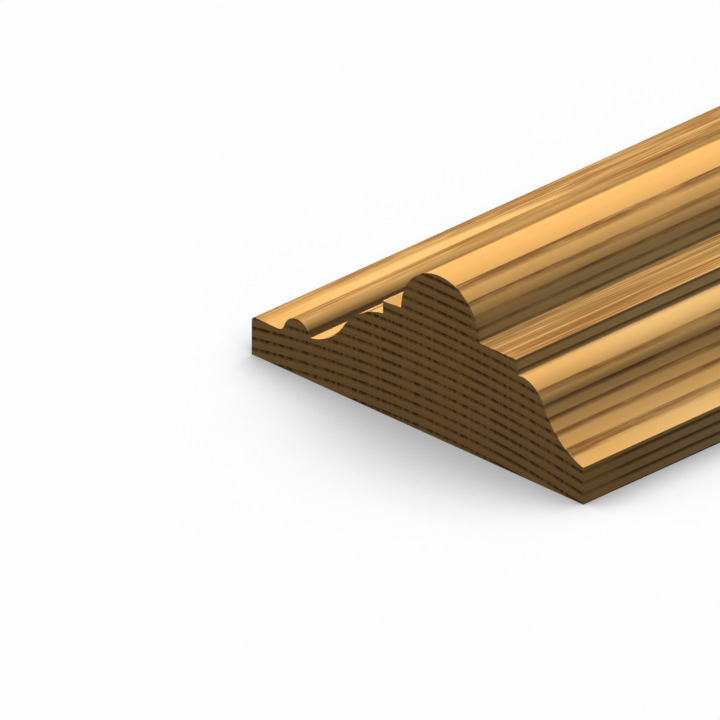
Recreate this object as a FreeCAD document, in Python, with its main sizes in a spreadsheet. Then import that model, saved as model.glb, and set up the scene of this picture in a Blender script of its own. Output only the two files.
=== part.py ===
"""Dado rail: one length of solid timber moulding, lying on its flat back with the moulded face up.

The section is drawn across the rail, X across the face and Z out from the wall, and is run along Y.
Going from the bead edge (-X) to the ogee edge (+X) its members are a thin lip, a small bead with a
fillet at its foot, a hollow that turns over into a rise, a narrow shelf, a half-round torus, a wide
shelf, and an ogee that runs out on a second lip. The origin is the middle of the back.
"""

import FreeCAD
import Part
import Sketcher

import math
import os

# Driving sizes: alias, value in millimetres or degrees, and what it measures.
SIZES = (
    ("rail_length", 2400.0, "length of the rail as sold"),
    ("bead_lip_thickness", 6.25, "back to the flat of the lip on the bead edge"),
    ("bead_inset", 9.5, "bead edge of the rail to the middle of the bead"),
    ("bead_radius", 2.9, "small half-round bead, centred on the lip's flat"),
    ("bead_fillet_radius", 1.3, "rounded foot between the lip's flat and the bead"),
    ("hollow_lift", 0.85, "lip's flat up to where the hollow starts on the bead"),
    ("hollow_turn_run", 6.7, "start of the hollow across to where it turns over"),
    ("hollow_turn_rise", 4.25, "start of the hollow up to where it turns over"),
    ("hollow_turn_slope", 56.0, "steepest slope of the rise, in degrees"),
    ("bead_to_shelf", 17.8, "middle of the bead across to the narrow shelf"),
    ("narrow_step_height", 2.05, "top of the rise up to the narrow shelf"),
    ("narrow_shelf_width", 3.8, "narrow shelf, from its edge to the torus"),
    ("narrow_shelf_fall", 0.25, "fall of the narrow shelf towards its edge"),
    ("shelf_height", 18.9, "back to the shelves at the foot of the torus"),
    ("torus_radius", 8.1, "large half-round at the middle of the face"),
    ("wide_shelf_width", 7.7, "wide shelf, from the torus to its edge"),
    ("wide_step_height", 2.4, "wide shelf down to the top of the ogee"),
    ("wide_step_batter", 0.5, "slope of that step, as its offset at the foot"),
    ("ogee_width", 13.5, "foot of the step across to the ogee edge"),
    ("ogee_turn_run", 5.2, "start of the ogee across to where it turns"),
    ("ogee_turn_drop", 3.05, "start of the ogee down to where it turns"),
    ("ogee_turn_slope", 67.3, "steepest slope of the ogee, in degrees"),
    ("ogee_lip_thickness", 6.1, "back to the foot of the ogee at the ogee edge"),
    ("arris_radius", 0.7, "eased outer corner of the lip on the bead edge"),
)


def make_sheet(doc):
    """The spreadsheet of driving sizes: what each one measures, its name and its value."""
    sheet = doc.addObject("Spreadsheet::Sheet", "Sizes")
    for row, (alias, value, meaning) in enumerate(SIZES, start=1):
        sheet.set(f"A{row}", meaning)
        sheet.set(f"B{row}", alias)
        sheet.set(f"C{row}", str(value))
        sheet.setAlias(f"C{row}", alias)
    doc.recompute()
    return sheet


def section_points(size):
    """The corners, centres and turning points of the section, by name, from the driving sizes."""
    at = {}

    def place(name, x, z):
        at[name] = FreeCAD.Vector(x, z, 0)
        return at[name]

    torus_width = 2 * size("torus_radius")
    shelves = size("narrow_shelf_width") + torus_width + size("wide_shelf_width")
    ogee_side = size("wide_step_batter") + size("ogee_width")
    half_width = (size("bead_inset") + size("bead_to_shelf") + shelves + ogee_side) / 2

    # Back, lip and bead.
    lip = size("bead_lip_thickness")
    place("back_left", -half_width, 0)
    place("back_right", half_width, 0)
    place("lip_corner", -half_width, lip)
    bead = place("bead_centre", size("bead_inset") - half_width, lip)
    bead_radius = size("bead_radius")
    fillet_radius = size("bead_fillet_radius")
    reach = bead_radius + fillet_radius
    fillet = place("fillet_centre", bead.x - math.sqrt(reach**2 - fillet_radius**2), lip + fillet_radius)
    place("fillet_start", fillet.x, lip)
    at["fillet_end"] = bead + (fillet - bead) * (bead_radius / reach)

    # Hollow and narrow shelf.
    lift = size("hollow_lift")
    hollow = place("hollow_start", bead.x + math.sqrt(bead_radius**2 - lift**2), lip + lift)
    place("hollow_turn", hollow.x + size("hollow_turn_run"), hollow.y + size("hollow_turn_rise"))
    shelf = size("shelf_height")
    edge = place("narrow_edge", bead.x + size("bead_to_shelf"), shelf - size("narrow_shelf_fall"))
    place("hollow_end", edge.x, edge.y - size("narrow_step_height"))

    # Torus and wide shelf.
    torus = place("torus_centre", edge.x + size("narrow_shelf_width") + size("torus_radius"), shelf)
    place("torus_start", torus.x - size("torus_radius"), shelf)
    torus_end = place("torus_end", torus.x + size("torus_radius"), shelf)
    edge = place("wide_edge", torus_end.x + size("wide_shelf_width"), shelf)

    # Ogee.
    ogee = place("ogee_start", edge.x + size("wide_step_batter"), shelf - size("wide_step_height"))
    place("ogee_turn", ogee.x + size("ogee_turn_run"), ogee.y - size("ogee_turn_drop"))
    place("ogee_end", half_width, size("ogee_lip_thickness"))
    return at


class Edge:
    """One edge of the section, with its places in the order that the section is drawn.

    An arc is stored anticlockwise, so one that is drawn clockwise has its two ends the other way round.
    """

    def __init__(self, index, clockwise=False):
        first, second, centre = ((index, place) for place in range(1, 4))
        self.index = index
        self.start, self.end = (second, first) if clockwise else (first, second)
        self.centre = centre


class Section:
    """The sketch across the rail, with the calls that add its edges, ties and named sizes."""

    def __init__(self, body, plane, sheet):
        self.size = sheet.get
        self.sketch = body.newObject("Sketcher::SketchObject", "Section")
        self.sketch.AttachmentSupport = [(plane, "")]
        self.sketch.MapMode = "FlatFace"

    def line(self, start, end, construction=False):
        return Edge(self.sketch.addGeometry(Part.LineSegment(start, end), construction))

    def arc(self, start, end, centre, hollow):
        """An arc drawn from start to end: anticlockwise below its centre if hollow, else over it."""
        first, last = (start, end) if hollow else (end, start)
        sweep = [math.atan2(point.y - centre.y, point.x - centre.x) for point in (first, last)]
        circle = Part.Circle(centre, FreeCAD.Vector(0, 0, 1), (start - centre).Length)
        return Edge(self.sketch.addGeometry(Part.ArcOfCircle(circle, *sweep), False), not hollow)

    def tie(self, kind, *places):
        return self.sketch.addConstraint(Sketcher.Constraint(kind, *places))

    def hold(self, alias, kind, *places):
        """Holds a length or a radius at its cell in the sheet."""
        index = self.tie(kind, *places, self.size(alias))
        self.sketch.renameConstraint(index, alias)
        self.sketch.setExpression(f"Constraints.{alias}", f"Sizes.{alias}")

    def hold_slope(self, alias, line, falling):
        """Holds the slope of a line at its cell in the sheet, as an angle up or down from X."""
        sign = -1 if falling else 1
        index = self.tie("Angle", line.index, sign * math.radians(self.size(alias)))
        self.sketch.renameConstraint(index, alias)
        self.sketch.setExpression(f"Constraints.{alias}", f"{sign} * Sizes.{alias} * 1 deg")

    def turning_arcs(self, name, at, falling):
        """Two arcs, one hollow and one round, that change over at a turning point on a held slope.

        A rising pair starts with the hollow and a falling pair with the round.
        """
        start, turn, end = (at[f"{name}_{place}"] for place in ("start", "turn", "end"))
        slope = math.radians(self.size(f"{name}_turn_slope")) * (-1 if falling else 1)
        before = self.arc(start, turn, tangent_centre(turn, slope, start), hollow=not falling)
        after = self.arc(turn, end, tangent_centre(turn, slope, end), hollow=falling)
        level = FreeCAD.Vector(turn.x + (end.y - turn.y) / math.tan(slope), end.y, 0)
        tangent = self.line(turn, level, construction=True)
        self.tie("Tangent", *before.end, *tangent.start)
        self.tie("Tangent", *after.start, *tangent.start)
        self.tie("Horizontal", *tangent.end, *after.end)
        self.hold_slope(f"{name}_turn_slope", tangent, falling)
        return before, after


def tangent_centre(turn, slope, far_end):
    """Centre of the arc that touches a slope at a turning point and passes through its far end."""
    normal = FreeCAD.Vector(-math.sin(slope), math.cos(slope), 0)
    chord = far_end - turn
    return turn + normal * (chord.dot(chord) / (2 * normal.dot(chord)))


def draw_section(body, plane, sheet):
    """The closed section, drawn in place from the back's ogee edge round to it, then held by its sizes."""
    at = section_points(sheet.get)
    section = Section(body, plane, sheet)
    tie, hold = section.tie, section.hold

    back = section.line(at["back_right"], at["back_left"])
    bead_edge = section.line(at["back_left"], at["lip_corner"])
    lip = section.line(at["lip_corner"], at["fillet_start"])
    fillet = section.arc(at["fillet_start"], at["fillet_end"], at["fillet_centre"], hollow=True)
    bead = section.arc(at["fillet_end"], at["hollow_start"], at["bead_centre"], hollow=False)
    hollow, rise = section.turning_arcs("hollow", at, falling=False)
    narrow_step = section.line(at["hollow_end"], at["narrow_edge"])
    narrow_shelf = section.line(at["narrow_edge"], at["torus_start"])
    torus = section.arc(at["torus_start"], at["torus_end"], at["torus_centre"], hollow=False)
    wide_shelf = section.line(at["torus_end"], at["wide_edge"])
    wide_step = section.line(at["wide_edge"], at["ogee_start"])
    ogee_head, ogee_foot = section.turning_arcs("ogee", at, falling=True)
    ogee_edge = section.line(at["ogee_end"], at["back_right"])

    # The fillet runs smoothly from the lip to the bead, and the other members meet at corners.
    tie("Tangent", *lip.end, *fillet.start)
    tie("Tangent", *fillet.end, *bead.start)
    bead_side = (bead, hollow), (rise, narrow_step), (narrow_step, narrow_shelf), (narrow_shelf, torus)
    ogee_side = (torus, wide_shelf), (wide_shelf, wide_step), (wide_step, ogee_head), (ogee_foot, ogee_edge)
    around_back = (ogee_edge, back), (back, bead_edge), (bead_edge, lip)
    for member, following in (*bead_side, *ogee_side, *around_back):
        tie("Coincident", *member.end, *following.start)

    # The back lies on X with its middle at the origin, and the flats and edges are square to it.
    origin = Edge(-1).start
    tie("Symmetric", *back.start, *back.end, *origin)
    for level in (back, lip, wide_shelf):
        tie("Horizontal", level.index)
    for upright in (bead_edge, narrow_step, ogee_edge):
        tie("Vertical", upright.index)
    tie("Horizontal", *bead.centre, *lip.start)
    tie("Horizontal", *torus.centre, *torus.start)
    tie("Horizontal", *torus.centre, *torus.end)

    hold("bead_lip_thickness", "DistanceY", *bead_edge.start, *bead_edge.end)
    hold("bead_inset", "DistanceX", *bead_edge.end, *bead.centre)
    hold("bead_radius", "Radius", bead.index)
    hold("bead_fillet_radius", "Radius", fillet.index)
    hold("hollow_lift", "DistanceY", *lip.start, *hollow.start)
    hold("hollow_turn_run", "DistanceX", *hollow.start, *hollow.end)
    hold("hollow_turn_rise", "DistanceY", *hollow.start, *hollow.end)
    hold("bead_to_shelf", "DistanceX", *bead.centre, *narrow_step.start)
    hold("narrow_step_height", "DistanceY", *narrow_step.start, *narrow_step.end)
    hold("narrow_shelf_width", "DistanceX", *narrow_shelf.start, *narrow_shelf.end)
    hold("narrow_shelf_fall", "DistanceY", *narrow_shelf.start, *narrow_shelf.end)
    hold("shelf_height", "DistanceY", *back.start, *torus.end)
    hold("torus_radius", "Radius", torus.index)
    hold("wide_shelf_width", "DistanceX", *wide_shelf.start, *wide_shelf.end)
    hold("wide_step_height", "DistanceY", *wide_step.end, *wide_step.start)
    hold("wide_step_batter", "DistanceX", *wide_step.start, *wide_step.end)
    hold("ogee_width", "DistanceX", *ogee_head.start, *ogee_foot.end)
    hold("ogee_turn_run", "DistanceX", *ogee_head.start, *ogee_head.end)
    hold("ogee_turn_drop", "DistanceY", *ogee_head.end, *ogee_head.start)
    hold("ogee_lip_thickness", "DistanceY", *ogee_edge.end, *ogee_edge.start)
    return section.sketch


def run_length(body, sketch):
    """The section run along the rail, half its length to each side of the origin."""
    run = body.newObject("PartDesign::Pad", "Run")
    run.Profile = sketch
    run.SideType = "Symmetric"
    run.setExpression("Length", "Sizes.rail_length")
    return run


def ease_arris(body, run, corner):
    """The eased outer corner of the bead edge's lip, all along the rail."""
    eased = body.newObject("PartDesign::Fillet", "EasedArris")
    middles = [edge.BoundBox.Center for edge in run.Shape.Edges]
    offsets = [math.hypot(middle.x - corner.x, middle.z - corner.y) for middle in middles]
    arris = offsets.index(min(offsets)) + 1
    eased.Base = (run, [f"Edge{arris}"])
    eased.setExpression("Radius", "Sizes.arris_radius")
    return eased


def make_rail(doc, sheet):
    """The rail: its section, run along the length, with the one eased arris."""
    rail = doc.addObject("PartDesign::Body", "Rail")
    rail.Label = "dado_rail"
    plane = next(item for item in rail.Origin.OriginFeatures if item.Role == "XZ_Plane")
    sketch = draw_section(rail, plane, sheet)
    doc.recompute()
    if sketch.solve() != 0 or not sketch.FullyConstrained:
        raise RuntimeError("the section isn't held by its sizes")
    run = run_length(rail, sketch)
    doc.recompute()
    rail.Tip = ease_arris(rail, run, section_points(sheet.get)["lip_corner"])
    doc.recompute()
    return rail


def check(doc, bodies):
    """Stops if any object of the document failed, or a body isn't one valid solid."""
    failed = [item.Name for item in doc.Objects if {"Invalid", "Error"} & set(item.State)]
    if failed:
        raise RuntimeError(f"these objects failed: {failed}")
    for body in bodies:
        shape = body.Shape
        if shape.isNull() or not shape.isValid() or len(shape.Solids) != 1:
            raise RuntimeError(f"{body.Label} isn't one valid solid")


def main():
    doc = FreeCAD.newDocument("DadoRail")
    sheet = make_sheet(doc)
    bodies = [make_rail(doc, sheet)]
    check(doc, bodies)
    os.makedirs("parts", exist_ok=True)
    for body in bodies:
        body.Shape.exportStep(f"parts/{body.Label}.step")
        box = body.Shape.BoundBox
        print(f"{body.Label}: {box.XLength:.2f} x {box.YLength:.2f} x {box.ZLength:.2f} mm")
        print(f"section {body.Shape.Volume / box.YLength:.2f} mm2, {body.Shape.Volume / 1e6:.4f} litres")


main()
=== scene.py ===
"""Looks of the dado rail: one length of machined softwood moulding, lying on a plain white studio floor.

The rail's section is drawn here as a fine smooth mesh from the same sizes as the solid. Its wood is worked
out in space from the growth rings of the log that it was sawn from, so the same rings show as dashed arcs
on the ends, as streaks on the mouldings and as long figure on the flats that run along a ring.
"""

import itertools
import math

import bmesh
import bpy
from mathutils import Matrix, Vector
from mathutils.geometry import delaunay_2d_cdt


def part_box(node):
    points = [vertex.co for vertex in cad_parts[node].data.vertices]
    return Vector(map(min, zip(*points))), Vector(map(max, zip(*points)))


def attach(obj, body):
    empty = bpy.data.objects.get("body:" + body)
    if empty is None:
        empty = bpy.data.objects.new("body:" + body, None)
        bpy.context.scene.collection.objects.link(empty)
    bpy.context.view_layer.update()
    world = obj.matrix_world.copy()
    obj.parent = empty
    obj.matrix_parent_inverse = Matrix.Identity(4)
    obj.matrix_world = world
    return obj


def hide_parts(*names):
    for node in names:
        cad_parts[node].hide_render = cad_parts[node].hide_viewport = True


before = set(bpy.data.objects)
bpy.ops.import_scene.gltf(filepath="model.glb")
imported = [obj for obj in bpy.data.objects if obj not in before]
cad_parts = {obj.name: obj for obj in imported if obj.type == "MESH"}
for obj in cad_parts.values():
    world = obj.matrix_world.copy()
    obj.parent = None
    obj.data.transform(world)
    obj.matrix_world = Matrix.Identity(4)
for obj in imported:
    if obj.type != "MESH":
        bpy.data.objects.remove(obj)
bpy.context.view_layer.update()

MM = 0.001

# Section of the rail, in millimetres and degrees.
BEAD_LIP_THICKNESS = 6.25
ARRIS_RADIUS = 0.7
BEAD_INSET = 9.5
BEAD_RADIUS = 2.9
BEAD_FILLET_RADIUS = 1.3
HOLLOW_LIFT = 0.85
HOLLOW_TURN_RUN = 6.7
HOLLOW_TURN_RISE = 4.25
HOLLOW_TURN_SLOPE = 56.0
BEAD_TO_SHELF = 17.8
NARROW_STEP_HEIGHT = 2.05
NARROW_SHELF_WIDTH = 3.8
NARROW_SHELF_FALL = 0.25
SHELF_HEIGHT = 18.9
TORUS_RADIUS = 8.1
WIDE_SHELF_WIDTH = 7.7
WIDE_STEP_HEIGHT = 2.4
WIDE_STEP_BATTER = 0.5
OGEE_WIDTH = 13.5
OGEE_TURN_RUN = 5.2
OGEE_TURN_DROP = 3.05
OGEE_TURN_SLOPE = 67.3
OGEE_LIP_THICKNESS = 6.1

# Fineness of the mesh, in millimetres and degrees.
ARC_CHORD = 0.3
ARC_TURN = 6.0
BAYS = 24
SHARP_ANGLE = 30.0
SAME_POINT = 1e-6

# Code that keeps the triangles inside an outline, and the least normal of a face that faces along an axis.
TRIANGLES_INSIDE = 1
FACING = 0.5

# Flat layout of the surface in a square of side 1: the moulded face, the back above it, then the ends.
LAYOUT = "OFBake"
LONG_LEFT, LONG_RIGHT = 0.005, 0.995
FACE_LOW, FACE_HIGH = 0.01, 0.68
BACK_LOW, BACK_HIGH = 0.70, 0.79
ENDS_LOW, ENDS_HIGH = 0.82, 0.99
END_LEFTS, END_WIDTH = (0.01, 0.51), 0.48

# Sockets of the mix node, several of which share a name.
MIX_SHARE = 0
MIX_NUMBERS = (2, 3)
MIX_COLOURS = (6, 7)
MIXED_COLOUR = 2

# Growth rings, in millimetres: their axis runs along the rail, below its back.
PITH_X, PITH_Z = 3.05, -221.37
RING_PITCH = 1.6926
WANDER_REACH = 0.08
SAG = 0.2

# Places in a ring, as parts of it from 0 to 1, and shifts of them on the ends.
RING_PHASE = 0.42
END_SHIFT = 0.07
LATE_START, LATE_FULL = 0.68, 0.97
END_LATE_SHIFT = -0.01
FEATHER_REACH = 0.2
RING_END = (0.98, 1.0)
FACE_PALES = (0.25, 0.55)
END_PALES = (0.15, 0.45)

# Noise in the wood: cells across, along and up in millimetres, detail, roughness, and shift in cells.
UNMOVED = (0.0, 0.0, 0.0)
WANDER = ((14.0, 110.0, 14.0), 1.0, 0.5, UNMOVED)
FEATHERS = ((0.55, 26.0, 9.0), 2.0, 0.6, (0.0, 0.0, 7.3))
FIBRES = ((0.75, 22.0, 16.0), 3.0, 0.7, (0.0, 3.3, 0.0))
THIN_LINES = ((0.4, 22.0, 16.0), 2.0, 0.6, (0.0, 3.3, 0.0))
HAIRLINES = ((0.28, 48.0, 12.0), 1.0, 0.5, UNMOVED)
PALE_LINES = ((0.33, 40.0, 12.0), 1.0, 0.5, (0.0, 0.0, 3.7))
PATCHES = ((2.4, 42.0, 9.0), 1.0, 0.5, UNMOVED)

# Levels of that noise between which its lines or patches set in, and how strong they get.
FIBRES_SET_IN = (0.37, 0.61)
THIN_LINES_SET_IN, THIN_SHARE = (0.36, 0.64), 0.6
FIGURE_SETS_IN = (0.12, 0.82)
HAIRLINES_SET_IN = (0.56, 0.63)
PALE_LINES_SET_IN, PALE_SHARE = (0.54, 0.61), 0.58
PATCHES_SET_IN, PATCH_SHARE = (0.5, 0.62), 0.9

# Stripes along the rail, from left to right: middle line and the distances from it between which the stripe
# fades out, in millimetres, then strength.
END_CORNER = (-34.5, 5.0, 12.0, 0.4)
LIP_ARRIS = (-34.3, 0.4, 0.75, 0.95)
LIP_LINE = (-32.85, 0.15, 0.4, 0.6)
LIP_TINGE = (-31.0, 2.5, 3.2, 0.13)
LIP_BRIGHT = (-30.9, 1.0, 2.8, 1.0)
BEAD_TOP = (-26.2, 1.0, 3.4, 0.9)
BEAD_STREAK = (-24.5, 0.4, 1.1, 1.0)
# Olive on the bead's side near the end is painted shade.
BEAD_SIDE_OLIVE_SHADE = (-23.9, 0.6, 1.6, 0.9)
BEAD_FOOT = (-22.4, 0.5, 1.0, 0.9)
HOLLOW = (-15.0, 6.5, 8.0, 1.0)
NARROW_SHELF = (-5.3, 1.6, 2.1, 0.35)
TORUS_LEFT = (2.6, 1.3, 2.8, 1.0)
TORUS_RIGHT = (12.8, 0.2, 1.0, 0.75)
SHELF_OLIVE = (14.6, 1.6, 3.8, 0.9)
WIDE_SHELF = (16.65, 3.7, 3.95, 0.95)
SHELF_MIDDLE = (17.0, 1.6, 4.2, 3.0)
STEP_FOOT = (20.8, 0.35, 0.7, 0.9)
WIDE_STEP = (22.2, 1.3, 3.2, 1.0)
OGEE = (28.0, 4.5, 6.0, 1.0)
OGEE_HOLLOW = (31.3, 0.4, 0.7, 1.0)
OGEE_WEDGE = (31.6, 0.3, 0.9, 0.9)

# A stripe on the torus's left flank whose middle line moves to the right towards the ends.
FLANK_MIDDLES = (-0.05, 0.3)
FLANK = (0.8, 1.4, 1.0)

# Other places in the section between which something sets in or fades out, in millimetres.
LIP_FADES, LIP_WIDER = (-33.0, -31.2), 3.0
# Where the painted shade on the bead's side deepens, and where it stops at the quirk.
QUIRK_DARKENS, QUIRK_END = (-24.3, -22.7), -22.24
SAG_WIDTHS, SAG_HEIGHTS = (20.0, 33.0), (0.5, 6.5)
OGEE_YELLOWS = (28.5, 33.5)
OGEE_EDGE = (33.8, 34.3)
ABOVE_EDGES = (5.0, 6.0)
SHELF_TOP = (19.0, 19.3)
# Heights on the ends over which their painted shade near the floor fades out.
END_FLOOR_SHADE_HEIGHTS = (0.0, 14.0)

# Stretches of the rail over which its looks change, as distances from its middle in millimetres.
END_FACE = 1199.9
FAR = (1122.0, 1154.0)
NEAR = (1181.0, 1192.0)
OFF_ENDS = (1172.0, 1199.0)
LIP_NARROWS = (1116.0, 1170.0)
FLANK_MOVES = (1150.0, 1194.0)
HOLLOW_FILLS = (1176.0, 1194.0)
WEDGE_STARTS = (1188.0, 1198.0)
BANDS_FILL = (1186.0, 1198.0)
EDGE_BREAKS_UP = (1190.5, 1195.5)

# Shares of late wood on the lip and in the ogee's hollow, and of dashes along the ogee edge.
LIP_SHARE, LIP_NEAR_LOSS = 0.85, 0.55
HOLLOW_SHARE = 0.6
EDGE_CLOSED, EDGE_OPEN = 0.95, 0.25

# Depth of the late wood between its dashes: the least, and how many steps deeper it is in places.
LEAST_DEPTH, DEPTH_STEP = 0.3, 0.15
STREAK_STEPS = 2.4
FLANK_STEPS, FLANK_NEAR_STEPS = 3.0, 1.6
BAND_STEPS = (1.2, 2.6)
ARRIS_STEPS = 3.5

# Colours of the wood, as linear red, green and blue, and the shares that some of them reach.
EARLY, EARLY_PALE = (0.648, 0.384, 0.128), (0.648, 0.397, 0.140)
EARLY_TORUS = (0.612, 0.364, 0.127)
END_EARLY, END_PALE = (0.619, 0.372, 0.148), (0.718, 0.431, 0.171)
# Painted shade on the ends towards the back, near the floor.
END_FLOOR_SHADE, END_FLOOR_SHADE_SHARE = (0.414, 0.249, 0.097), 0.2
YELLOW = (0.675, 0.455, 0.182)
YELLOW_SHARE, YELLOW_EVERYWHERE = 0.9, 0.05
LATE, LATE_OGEE, LATE_END = (0.212, 0.100, 0.033), (0.212, 0.090, 0.027), (0.130, 0.064, 0.024)
OLIVE = (0.250, 0.153, 0.056)
# Painted shade on the bead's side, down to the quirk at its foot.
QUIRK_SHADE_COLOUR, QUIRK_SHADE_SHARE = (0.060, 0.037, 0.014), 0.62
BOUNCED_EARLY, BOUNCED_LATE = (0.29, 0.275, 0.27), (0.14, 0.13, 0.125)
BOUNCED_HOLLOW = (0.03, 0.03, 0.03)

# Finish of the wood, which shows no gloss. The bump's distance is in metres.
ROUGHNESSES = (0.56, 0.68)
BUMP_STRENGTH, BUMP_DISTANCE = 0.25, 0.00004
GLOSS = 0.0

# Floor, in metres: its own light under a closed sky, what an open sky adds to that, and the most in all.
FLOOR_REACH, FLOOR_DROP = 6.0, -0.00002
SHADE_REACH, SHADE_SAMPLES, SHADE_POWER = 0.06, 16, 2.5
SHADE_LIGHT, SKY_LIGHT = 0.257, 0.954
WHITE = 0.99

# Lights: leans in degrees to the right of straight up, strengths, and colours as red, green and blue.
KEY_LEAN, KEY_ENERGY, KEY_COLOUR = -24, 2.09, (1.0, 0.885, 0.757)
SIDE_LEAN, SIDE_ENERGY, SIDE_COLOUR = 42, 0.80, (0.919, 0.912, 0.96)
SUN_BEHIND, SUN_SPREAD = 0.2, 16
LEFT_AXIS, LEFT_POWER, LEFT_COLOUR = (-0.9962, 0.0872, 0.0), 2.0, (1.59, 1.50, 1.30)
UNLIT = (0.0, 0.0, 0.0)

# View, in degrees and metres.
AZIMUTH, ELEVATION = 45, 27
VIEW_TARGET = (-0.021893, -1.190074, 0)
VIEW_WIDTH = 0.10593
CLIP_START, CLIP_END = 0.01, 100.0


def arc(start, end, centre, hollow):
    """Points after start up to end: anticlockwise under the centre if hollow, else clockwise over it."""
    radius = (start - centre).length
    first, last = (math.atan2(point.y - centre.y, point.x - centre.x) for point in (start, end))
    sweep = (last - first) % math.tau if hollow else -((first - last) % math.tau)
    steps = math.ceil(max(abs(sweep) * radius / ARC_CHORD, abs(sweep) / math.radians(ARC_TURN)))
    angles = (first + sweep * step / steps for step in range(1, steps))
    between = [centre + radius * Vector((math.cos(angle), math.sin(angle))) for angle in angles]
    return [*between, end]


def turning_arcs(start, turn, end, slope):
    """A hollow and a round arc, or the other way about if falling, that change over on a slope."""
    angle = math.radians(slope)
    normal = Vector((-math.sin(angle), math.cos(angle)))

    def centre(far_end):
        chord = far_end - turn
        return turn + normal * (chord.dot(chord) / (2 * normal.dot(chord)))

    before = arc(start, turn, centre(start), hollow=slope > 0)
    return before + arc(turn, end, centre(end), hollow=slope < 0)


def face_outline():
    """The moulded face, from the foot of the bead edge over to the foot of the ogee edge, in mm."""
    shelves = NARROW_SHELF_WIDTH + 2 * TORUS_RADIUS + WIDE_SHELF_WIDTH
    half = (BEAD_INSET + BEAD_TO_SHELF + shelves + WIDE_STEP_BATTER + OGEE_WIDTH) / 2
    lip = BEAD_LIP_THICKNESS
    points = [Vector((-half, 0))]

    # Lip, fillet and bead.
    arris = Vector((ARRIS_RADIUS - half, lip - ARRIS_RADIUS))
    points.append(Vector((-half, arris.y)))
    points += arc(points[-1], Vector((arris.x, lip)), arris, hollow=False)
    bead = Vector((BEAD_INSET - half, lip))
    reach = BEAD_RADIUS + BEAD_FILLET_RADIUS
    fillet = Vector((bead.x - math.sqrt(reach**2 - BEAD_FILLET_RADIUS**2), lip + BEAD_FILLET_RADIUS))
    points.append(Vector((fillet.x, lip)))
    points += arc(points[-1], bead + (fillet - bead) * (BEAD_RADIUS / reach), fillet, hollow=True)
    hollow = Vector((bead.x + math.sqrt(BEAD_RADIUS**2 - HOLLOW_LIFT**2), lip + HOLLOW_LIFT))
    points += arc(points[-1], hollow, bead, hollow=False)

    # Hollow, narrow step and narrow shelf.
    turn = hollow + Vector((HOLLOW_TURN_RUN, HOLLOW_TURN_RISE))
    edge = Vector((bead.x + BEAD_TO_SHELF, SHELF_HEIGHT - NARROW_SHELF_FALL))
    points += turning_arcs(hollow, turn, edge - Vector((0, NARROW_STEP_HEIGHT)), HOLLOW_TURN_SLOPE)
    points.append(edge)

    # Torus and wide shelf.
    points.append(Vector((edge.x + NARROW_SHELF_WIDTH, SHELF_HEIGHT)))
    torus = points[-1] + Vector((TORUS_RADIUS, 0))
    points += arc(points[-1], torus + Vector((TORUS_RADIUS, 0)), torus, hollow=False)
    points.append(points[-1] + Vector((WIDE_SHELF_WIDTH, 0)))

    # Wide step and ogee.
    points.append(points[-1] + Vector((WIDE_STEP_BATTER, -WIDE_STEP_HEIGHT)))
    turn = points[-1] + Vector((OGEE_TURN_RUN, -OGEE_TURN_DROP))
    points += turning_arcs(points[-1], turn, Vector((half, OGEE_LIP_THICKNESS)), -OGEE_TURN_SLOPE)
    points.append(Vector((half, 0)))
    return points


def lay_flat(mesh, outline, low, high):
    """Gives the rail's mesh its flat layout, with the long faces spread over the square's whole width."""
    layer = mesh.loops.layers.uv.new(LAYOUT)
    steps = ((b - a).length for a, b in zip(outline, outline[1:]))
    girth = [0.0, *itertools.accumulate(steps)]
    mesh.verts.index_update()
    for face in mesh.faces:
        for corner in face.loops:
            x, y, z = ((c - a) / (b - a) for c, a, b in zip(corner.vert.co, low, high))
            if abs(face.normal.y) > FACING:
                end = round(y)
                place = (END_LEFTS[end] + END_WIDTH * abs(end - x), ENDS_LOW + (ENDS_HIGH - ENDS_LOW) * z)
            elif face.normal.z < -FACING:
                place = (LONG_LEFT + (LONG_RIGHT - LONG_LEFT) * y, BACK_LOW + (BACK_HIGH - BACK_LOW) * x)
            else:
                along = LONG_RIGHT + (LONG_LEFT - LONG_RIGHT) * y
                over = girth[corner.vert.index % len(outline)] / girth[-1]
                place = (along, FACE_LOW + (FACE_HIGH - FACE_LOW) * over)
            corner[layer].uv = place


def make_rail():
    """The rail as one closed mesh: the section run along its length in even bays, with both ends closed."""
    low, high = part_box("dado_rail")
    outline = face_outline()
    mesh = bmesh.new()
    stations = [low[1] + (high[1] - low[1]) * bay / BAYS for bay in range(BAYS + 1)]
    rows = [[mesh.verts.new((p.x * MM, y, p.y * MM)) for p in outline] for y in stations]
    for near, far in zip(rows, rows[1:]):
        for i in range(len(outline)):
            j = (i + 1) % len(outline)
            mesh.faces.new((near[i], near[j], far[j], far[i])).smooth = True
    whole = [range(len(outline))]
    triangles = delaunay_2d_cdt(outline, [], whole, TRIANGLES_INSIDE, SAME_POINT)[2]
    for triangle in triangles:
        for row in (rows[0], rows[-1]):
            mesh.faces.new([row[i] for i in triangle])
    bmesh.ops.recalc_face_normals(mesh, faces=mesh.faces)
    lay_flat(mesh, outline, low, high)
    data = bpy.data.meshes.new("rail")
    mesh.to_mesh(data)
    mesh.free()
    data.set_sharp_from_angle(angle=math.radians(SHARP_ANGLE))
    rail = bpy.data.objects.new("rail", data)
    bpy.context.scene.collection.objects.link(rail)
    return rail


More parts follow.
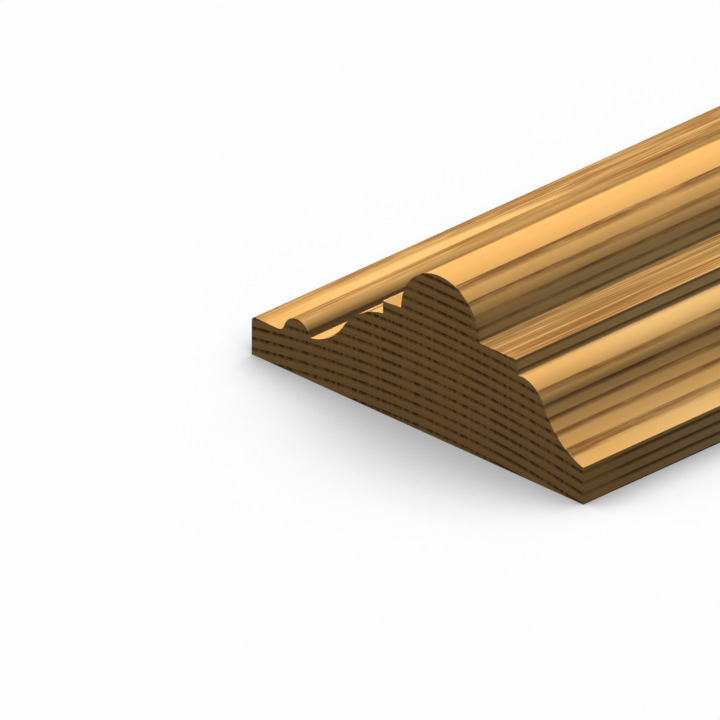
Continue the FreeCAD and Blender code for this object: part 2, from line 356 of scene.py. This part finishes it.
class Nodes:
    """Short calls that add shader nodes to a tree and link them. All but show return an output socket."""

    def __init__(self, tree):
        self.tree = tree
        tree.nodes.clear()

    def add(self, kind, inputs=(), output=0, **settings):
        node = self.tree.nodes.new(kind)
        for name, value in settings.items():
            setattr(node, name, value)
        for key, value in dict(inputs).items():
            if isinstance(value, bpy.types.NodeSocket):
                self.tree.links.new(value, node.inputs[key])
            else:
                node.inputs[key].default_value = value
        return node.outputs[output]

    def show(self, surface, kind="ShaderNodeOutputMaterial"):
        """Links a surface to the tree's output."""
        output = self.tree.nodes.new(kind)
        self.tree.links.new(surface, output.inputs["Surface"])

    def math(self, operation, *values):
        return self.add("ShaderNodeMath", enumerate(values), operation=operation)

    def times(self, first, *others):
        for other in others:
            first = self.math("MULTIPLY", first, other)
        return first

    def largest(self, first, *others):
        for other in others:
            first = self.math("MAXIMUM", first, other)
        return first

    def remainder(self, share):
        """What is left of 1."""
        return self.math("SUBTRACT", 1.0, share)

    def smooth(self, value, low, high, to_low=0.0, to_high=1.0):
        """Eases from to_low to to_high as value goes from low to high."""
        ends = {"From Min": low, "From Max": high, "To Min": to_low, "To Max": to_high}
        return self.add("ShaderNodeMapRange", {"Value": value, **ends}, interpolation_type="SMOOTHSTEP")

    def between(self, share, first, second):
        """Mixes two numbers."""
        inputs = {MIX_SHARE: share, **dict(zip(MIX_NUMBERS, (first, second)))}
        return self.add("ShaderNodeMix", inputs, data_type="FLOAT")

    def mix(self, share, first, second):
        """Mixes two colours, each a socket or linear red, green and blue."""
        ends = [end if isinstance(end, bpy.types.NodeSocket) else (*end, 1.0) for end in (first, second)]
        inputs = {MIX_SHARE: share, **dict(zip(MIX_COLOURS, ends))}
        return self.add("ShaderNodeMix", inputs, MIXED_COLOUR, data_type="RGBA")


class Timber(Nodes):
    """Nodes for the rail's wood, which is worked out from each point's place in millimetres."""

    def __init__(self, tree):
        super().__init__(tree)
        place = self.add("ShaderNodeTexCoord", output="Object")
        split = self.add("ShaderNodeSeparateXYZ", {"Vector": place}).node.outputs
        self.x, self.y, self.z = (self.math("MULTIPLY", axis, 1 / MM) for axis in split)

        # Places along the rail.
        self.from_middle = self.math("ABSOLUTE", self.y)
        self.on_ends = self.math("GREATER_THAN", self.from_middle, END_FACE)
        self.on_faces = self.remainder(self.on_ends)
        self.off_ends = self.stretch(OFF_ENDS, 1.0, 0.0)
        self.near = self.stretch(NEAR)
        self.far = self.stretch(FAR, 1.0, 0.0)

        # Places in the section: the faces above the two edges, the ogee edge and two thin lines.
        self.above = self.times(self.on_faces, self.smooth(self.z, *ABOVE_EDGES))
        self.edge = self.times(self.on_faces, self.smooth(self.x, *OGEE_EDGE))
        self.arris = self.stripe(*LIP_ARRIS)
        self.streak = self.times(self.far, self.stripe(*BEAD_STREAK))

    def stretch(self, places, inner=0.0, outer=1.0):
        """Eases from one value on the middle of the rail to another towards its ends."""
        return self.smooth(self.from_middle, *places, inner, outer)

    def stripe(self, middle, inner, outer, strength):
        """A stripe along the rail that fades out between two distances from its middle line."""
        distance = self.math("ABSOLUTE", self.math("SUBTRACT", self.x, middle))
        return self.smooth(distance, inner, outer, strength, 0.0)

    def noise(self, cells, detail, roughness, shift):
        """Soft noise from 0 to 1, with cells of a given size that are shifted by a number of cells."""
        axes = zip((self.x, self.y, self.z), cells, shift)
        places = [self.math("ADD", self.math("DIVIDE", axis, size), move) for axis, size, move in axes]
        place = self.add("ShaderNodeCombineXYZ", enumerate(places))
        look = {"Vector": place, "Scale": 1.0, "Detail": detail, "Roughness": roughness}
        return self.add("ShaderNodeTexNoise", look, noise_dimensions="3D")

    def ring(self):
        """How far a point is through its ring. Rings wander, and sag at the foot of the ogee edge."""
        across = self.math("SUBTRACT", self.x, PITH_X)
        up = self.math("SUBTRACT", self.z, PITH_Z)
        squares = (self.math("POWER", side, 2.0) for side in (across, up))
        radius = self.math("SQRT", self.math("ADD", *squares))
        wander = self.math("SUBTRACT", self.noise(*WANDER), 0.5)
        sag = self.times(self.smooth(self.z, *SAG_HEIGHTS, SAG, 0.0), self.smooth(self.x, *SAG_WIDTHS))
        radius = self.math("ADD", radius, self.math("MULTIPLY_ADD", wander, WANDER_REACH, sag))
        phase = self.math("MULTIPLY_ADD", self.largest(self.on_ends, self.edge), END_SHIFT, -RING_PHASE)
        return self.math("FRACT", self.math("MULTIPLY_ADD", radius, 1 / RING_PITCH, phase))

    def late_wood(self, ring):
        """Late wood of the rings: feathered where it starts, and darker and darker up to its sharp end."""
        start = self.math("MULTIPLY_ADD", self.on_ends, END_LATE_SHIFT, LATE_START)
        start = self.math("MULTIPLY_ADD", self.noise(*FEATHERS), -FEATHER_REACH, start)
        share = self.add("ShaderNodeMapRange", {"Value": ring, "From Min": start, "From Max": LATE_FULL})
        late = self.remainder(self.math("POWER", self.remainder(share), 2.0))
        return self.times(late, self.smooth(ring, *RING_END, 1.0, 0.0))

    def members(self):
        """Late wood on members that run along a ring, so that it covers them, by name of the member."""
        lip = self.math("SUBTRACT", self.x, self.stretch(LIP_NARROWS, LIP_WIDER, 0.0))
        lip = self.smooth(lip, *LIP_FADES, LIP_SHARE, 0.0)
        lip = self.times(lip, self.math("MULTIPLY_ADD", self.near, -LIP_NEAR_LOSS, 1.0))
        flank = self.stripe(self.stretch(FLANK_MOVES, *FLANK_MIDDLES), *FLANK)
        below_torus = self.times(self.on_faces, self.smooth(self.z, *SHELF_TOP, 1.0, 0.0))
        hollow = self.times(self.stripe(*OGEE_HOLLOW), self.stretch(HOLLOW_FILLS, HOLLOW_SHARE, 1.0))
        wedge = self.times(self.stripe(*OGEE_WEDGE), self.stretch(WEDGE_STARTS))
        return {
            "lip": self.largest(lip, self.stripe(*LIP_TINGE), self.stripe(*LIP_LINE), self.arris),
            "bead": self.largest(self.stripe(*BEAD_TOP), self.streak),
            "narrow shelf": self.stripe(*NARROW_SHELF),
            "torus": self.times(self.on_faces, flank),
            "wide shelf": self.times(below_torus, self.stripe(*WIDE_SHELF)),
            "ogee": self.largest(hollow, wedge),
        }

    def dashes(self, figure):
        """Long thin dashes along the fibres, and thinner lines closer together where there is figure.

        They close up along the feet of the bead and the wide step and, off the ends, along the ogee edge.
        """
        dash = self.smooth(self.noise(*FIBRES), *FIBRES_SET_IN)
        dash = self.between(self.edge, dash, self.stretch(EDGE_BREAKS_UP, EDGE_CLOSED, EDGE_OPEN))
        feet = self.largest(self.stripe(*BEAD_FOOT), self.stripe(*STEP_FOOT))
        dash = self.largest(dash, self.times(self.on_faces, feet))
        thin = self.smooth(self.noise(*THIN_LINES), *THIN_LINES_SET_IN, 0.0, THIN_SHARE)
        lines = self.smooth(self.math("MULTIPLY_ADD", dash, 1 - THIN_SHARE, thin), *FIGURE_SETS_IN)
        return self.between(figure, dash, lines)

    def depth_between_dashes(self, members):
        """Deeper on the ends, arris, torus's flank, wide shelf and ogee, and on the far lip and bead."""
        far = self.largest(members["lip"], members["bead"], self.times(self.streak, STREAK_STEPS))
        far = self.times(self.far, far)
        shelf = self.times(members["wide shelf"], self.stripe(*SHELF_MIDDLE))
        flank = self.math("MULTIPLY_ADD", self.near, FLANK_NEAR_STEPS, FLANK_STEPS)
        flank = self.times(members["torus"], flank)
        bands = self.times(self.on_faces, self.stripe(*OGEE), self.stretch(BANDS_FILL, *BAND_STEPS))
        arris = self.times(self.on_faces, self.arris, ARRIS_STEPS)
        steps = self.largest(self.on_ends, far, shelf, flank, bands, arris)
        return self.math("MULTIPLY_ADD", steps, DEPTH_STEP, LEAST_DEPTH)

    def depth(self, ring):
        """How dark the wood is, from early wood at 0 to the darkest late wood at 1."""
        members = self.members()
        figure = self.times(self.above, self.largest(*members.values()))
        dashes = {"Value": self.dashes(figure), "To Min": self.depth_between_dashes(members)}
        late = self.largest(self.late_wood(ring), figure)
        depth = self.times(late, self.add("ShaderNodeMapRange", dashes))

        # Dark hairlines in all the figure, then pale ones on the wide shelf.
        hair = self.smooth(self.noise(*HAIRLINES), *HAIRLINES_SET_IN)
        depth = self.largest(depth, self.times(figure, hair))
        pale = self.smooth(self.noise(*PALE_LINES), *PALE_LINES_SET_IN, 0.0, PALE_SHARE)
        return self.times(depth, self.remainder(self.times(members["wide shelf"], pale)))

    def early_colour(self, ring):
        """Early wood, paler before it darkens, mostly on the ends, with painted shade at their back near
        the floor.

        Off the ends it is yellower beside the ogee edge and on the lip, the torus's foot and the wide step.
        """
        face = self.mix(self.smooth(ring, *FACE_PALES), EARLY, EARLY_PALE)
        face = self.mix(self.stripe(*TORUS_LEFT), face, EARLY_TORUS)
        end = self.mix(self.smooth(ring, *END_PALES), END_EARLY, END_PALE)
        # Painted shade on the ends, darkest at the back beside the floor.
        end = self.mix(self.smooth(self.z, *END_FLOOR_SHADE_HEIGHTS, END_FLOOR_SHADE_SHARE, 0.0), end, END_FLOOR_SHADE)
        stripes = (self.stripe(*place) for place in (LIP_BRIGHT, TORUS_RIGHT, WIDE_STEP))
        yellower = self.largest(self.smooth(self.x, *OGEE_YELLOWS), *stripes)
        tint = self.math("MULTIPLY_ADD", yellower, YELLOW_SHARE, YELLOW_EVERYWHERE)
        end_tint = self.times(self.on_ends, self.stripe(*END_CORNER))
        yellow = self.math("MULTIPLY_ADD", self.off_ends, tint, end_tint)
        return self.mix(yellow, self.mix(self.on_ends, face, end), YELLOW)

    def late_colour(self):
        """Late wood: reddish brown, reddest on the ogee, darkest on the ends, olive in places, and olive
        painted shade on the bead's side.
        """
        colour = self.mix(self.stripe(*OGEE), LATE, LATE_OGEE)
        colour = self.mix(self.on_ends, colour, LATE_END)
        patches = self.smooth(self.noise(*PATCHES), *PATCHES_SET_IN, 0.0, PATCH_SHARE)
        # Olive painted shade on the bead's side near the end.
        olive_shade = self.times(self.stripe(*BEAD_SIDE_OLIVE_SHADE), self.remainder(self.far))
        olive = self.largest(self.times(self.off_ends, patches), self.stripe(*SHELF_OLIVE), olive_shade)
        return self.mix(self.times(self.above, olive), colour, OLIVE)


def wood():
    """Softwood with thin dark rings, broken into dashes by its fibres."""
    material = bpy.data.materials.new("timber")
    material.use_nodes = True
    n = Timber(material.node_tree)
    ring = n.ring()
    depth = n.depth(ring)
    colour = n.mix(depth, n.early_colour(ring), n.late_colour())

    # Painted shade: the side of the bead is darkened down to the quirk at its foot, where shade falls.
    painted_shade = n.smooth(n.x, *QUIRK_DARKENS, 0.0, QUIRK_SHADE_SHARE)
    painted_shade = n.times(painted_shade, n.math("LESS_THAN", n.x, QUIRK_END), n.above)
    colour = n.mix(painted_shade, colour, QUIRK_SHADE_COLOUR)

    # Light that bounces between the mouldings is dim and grey, so it doesn't stain them.
    bounced = n.add("ShaderNodeLightPath", output="Is Diffuse Ray")
    grey = n.mix(depth, BOUNCED_EARLY, BOUNCED_LATE)
    grey = n.mix(n.stripe(*HOLLOW), grey, BOUNCED_HOLLOW)
    colour = n.mix(bounced, colour, grey)

    # The finish is a little rougher and lower along the dashes.
    rough = n.smooth(depth, 0.0, 1.0, *ROUGHNESSES)
    height = n.math("MULTIPLY", depth, -1.0)
    bump = n.add("ShaderNodeBump", {"Height": height, "Strength": BUMP_STRENGTH, "Distance": BUMP_DISTANCE})
    shader = {"Base Color": colour, "Roughness": rough, "Normal": bump, "Specular IOR Level": GLOSS}
    n.show(n.add("ShaderNodeBsdfPrincipled", shader))
    return material


def make_floor():
    """A plain white floor that only the camera sees, with a soft shadow where the rail shades it."""
    sides = ((-1, -1), (1, -1), (1, 1), (-1, 1))
    corners = [(x * FLOOR_REACH, y * FLOOR_REACH, FLOOR_DROP) for x, y in sides]
    data = bpy.data.meshes.new("floor")
    data.from_pydata(corners, [], [range(len(corners))])
    floor = bpy.data.objects.new("floor", data)
    bpy.context.scene.collection.objects.link(floor)
    floor.visible_diffuse = False
    floor.visible_glossy = False
    floor.visible_shadow = False
    material = bpy.data.materials.new("floor")
    material.use_nodes = True
    n = Nodes(material.node_tree)
    reach = {"Distance": SHADE_REACH}
    open_sky = n.add("ShaderNodeAmbientOcclusion", reach, output="AO", samples=SHADE_SAMPLES)
    light = n.math("MULTIPLY_ADD", n.math("POWER", open_sky, SHADE_POWER), SKY_LIGHT, SHADE_LIGHT)
    n.show(n.add("ShaderNodeEmission", {"Color": n.math("MINIMUM", light, WHITE)}))
    data.materials.append(material)


def make_sun(name, lean, energy, colour, shadow=True):
    """A soft sun over the rail, leaning to the right of straight up, and a little behind the near end."""
    toward = Vector((math.sin(math.radians(lean)), SUN_BEHIND, math.cos(math.radians(lean))))
    lamp = bpy.data.lights.new(name, "SUN")
    lamp.energy = energy
    lamp.color = colour
    lamp.angle = math.radians(SUN_SPREAD)
    lamp.use_shadow = shadow
    sun = bpy.data.objects.new(name, lamp)
    sun.rotation_mode = "QUATERNION"
    sun.rotation_quaternion = toward.to_track_quat("Z", "Y")
    bpy.context.scene.collection.objects.link(sun)


def make_lights():
    """A warm key from the upper left, half of it shadowless, a weak sun from the right, and a soft sky.

    The sky lights the rail from the left only. The camera sees it as even white.
    """
    make_sun("key", KEY_LEAN, KEY_ENERGY, KEY_COLOUR)
    make_sun("key_fill", KEY_LEAN, KEY_ENERGY, KEY_COLOUR, shadow=False)
    make_sun("side", SIDE_LEAN, SIDE_ENERGY, SIDE_COLOUR)
    world = bpy.data.worlds.new("studio")
    world.use_nodes = True
    bpy.context.scene.world = world
    n = Nodes(world.node_tree)
    direction = n.add("ShaderNodeTexCoord", output="Generated")
    side = n.add("ShaderNodeVectorMath", {0: direction, 1: LEFT_AXIS}, "Value", operation="DOT_PRODUCT")
    left = n.math("POWER", n.math("MAXIMUM", side, 0.0), LEFT_POWER)
    room = n.mix(left, UNLIT, LEFT_COLOUR)
    seen = n.add("ShaderNodeLightPath", output="Is Camera Ray")
    colour = n.mix(seen, room, (WHITE, WHITE, WHITE))
    n.show(n.add("ShaderNodeBackground", {"Color": colour}), "ShaderNodeOutputWorld")


def make_camera():
    """The photograph's view: parallel lines, from the front right, over the rail's near end."""
    azimuth, elevation = math.radians(AZIMUTH), math.radians(ELEVATION)
    level = math.cos(elevation)
    back = Vector((math.sin(azimuth) * level, -math.cos(azimuth) * level, math.sin(elevation)))
    data = bpy.data.cameras.new("camera")
    data.type = "ORTHO"
    data.ortho_scale = VIEW_WIDTH
    data.clip_start, data.clip_end = CLIP_START, CLIP_END
    camera = bpy.data.objects.new("camera", data)
    camera.location = Vector(VIEW_TARGET) + back
    camera.rotation_mode = "QUATERNION"
    camera.rotation_quaternion = back.to_track_quat("Z", "Y")
    bpy.context.scene.collection.objects.link(camera)
    bpy.context.scene.camera = camera


rail = make_rail()
rail.data.materials.append(wood())
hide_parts("dado_rail")
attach(rail, "root")
make_floor()
make_lights()
make_camera()
bpy.context.scene.view_settings.view_transform = "Standard"
